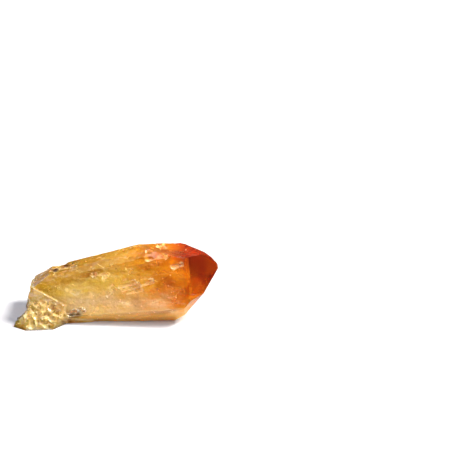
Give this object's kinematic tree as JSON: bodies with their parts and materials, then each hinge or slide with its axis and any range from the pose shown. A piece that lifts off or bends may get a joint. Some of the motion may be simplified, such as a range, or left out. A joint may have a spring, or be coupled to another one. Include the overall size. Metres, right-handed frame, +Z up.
{
  "type": "citrine crystal point",
  "caption": "Single natural citrine quartz point lying on its side, with rough flaring sides, a broken base and flat faces that meet at a tip.",
  "frame": {"origin": "middle of the crystal's footprint box, on the surface that it lies on", "axes": "+X along the crystal towards its tip, +Z up, -Y towards the chipped front side"},
  "size_m": [0.0508, 0.021, 0.0169],
  "materials": {
    "citrine": "clear golden quartz with milky veils, paling to straw at the base and deepening to red orange at the tip; the tip faces are glossy and the sides are satin"
  },
  "bodies": {
    "root": {"crystal_point": "citrine"}
  },
  "joints": []
}
